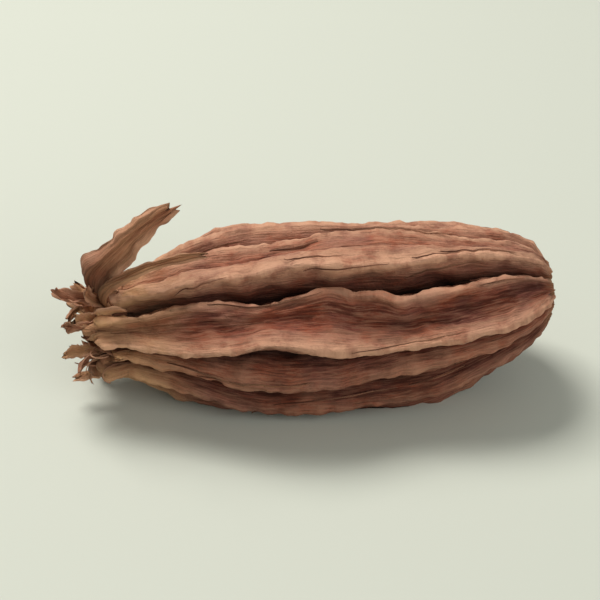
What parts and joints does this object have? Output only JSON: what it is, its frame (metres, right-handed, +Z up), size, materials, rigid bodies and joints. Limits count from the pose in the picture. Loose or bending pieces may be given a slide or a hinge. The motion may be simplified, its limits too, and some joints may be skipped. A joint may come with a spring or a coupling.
{
  "type": "black cardamom pod",
  "caption": "Dried black cardamom pod lying on its side: a ribbed, folded brown husk with a frayed calyx at one end and a puckered stem scar at the other.",
  "frame": {"origin": "on the small flat spot that the pod rests on, under its weight", "axes": "+X along the pod from the calyx to the stem end, +Z up from the surface it lies on, -Y the side that shows best"},
  "size_m": [0.0342, 0.0142, 0.0156],
  "materials": {
    "husk": "matt, dry and fibrous, red-brown in the furrows and paler tan on the worn ribs"
  },
  "bodies": {
    "root": {"pod": "husk"}
  },
  "joints": []
}
